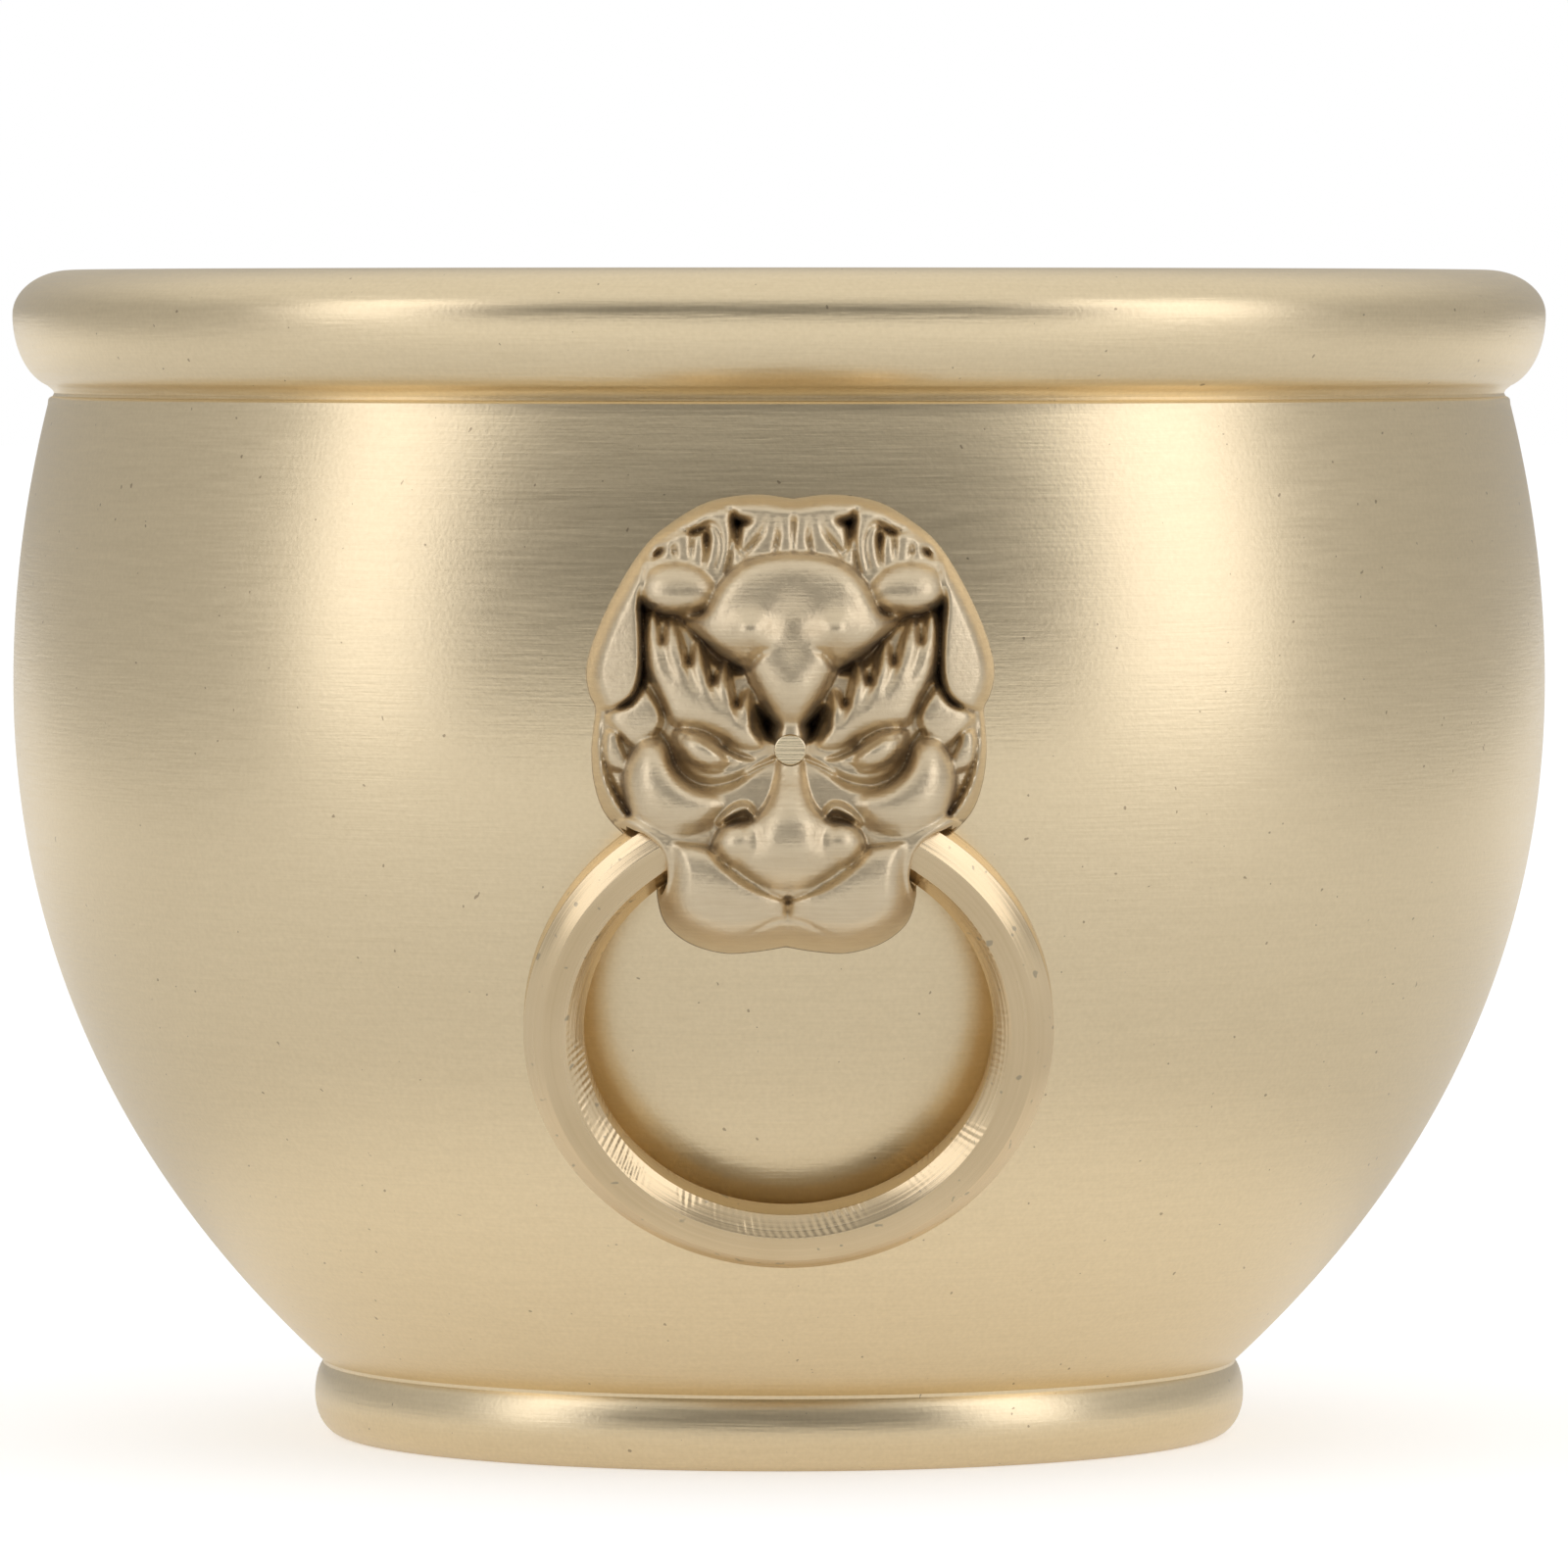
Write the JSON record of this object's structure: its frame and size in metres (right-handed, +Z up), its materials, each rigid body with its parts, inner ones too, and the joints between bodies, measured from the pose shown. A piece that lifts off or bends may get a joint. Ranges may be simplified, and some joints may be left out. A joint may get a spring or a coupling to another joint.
{
  "type": "planter pot",
  "caption": "Small turned brass planter bowl with a ring foot, a beaded rim, and a lion mask holding a loose swinging ring on the front and the back.",
  "frame": {"origin": "middle of the foot's base, on the pot's axis", "axes": "+Z up along the pot's axis, the front mask faces -Y, +X to the right as the front is seen"},
  "size_m": [0.1, 0.1174, 0.076],
  "materials": {
    "pot_brass": "satin, brushed round the pot",
    "mask_brass": "soft cast satin, darker in the recesses",
    "ring_brass": "as turned, with fine tool lines and some chatter",
    "rivet_brass": "ground flush and brushed"
  },
  "bodies": {
    "pot": {"pot_body": "pot_brass", "front_mask": "mask_brass", "front_rivet": "rivet_brass", "back_mask": "mask_brass", "back_rivet": "rivet_brass"},
    "front_ring_body": {"front_ring": "ring_brass"},
    "back_ring_body": {"back_ring": "ring_brass"}
  },
  "joints": [
    {"name": "front_ring_swing", "type": "hinge", "parent": "pot", "child": "front_ring_body", "pos_m": [0, -0.05278, 0.04193], "axis": [-1, 0, 0], "range_deg": [0, 40]},
    {"name": "back_ring_swing", "type": "hinge", "parent": "pot", "child": "back_ring_body", "pos_m": [0, 0.05278, 0.04193], "axis": [1, 0, 0], "range_deg": [0, 40]}
  ]
}
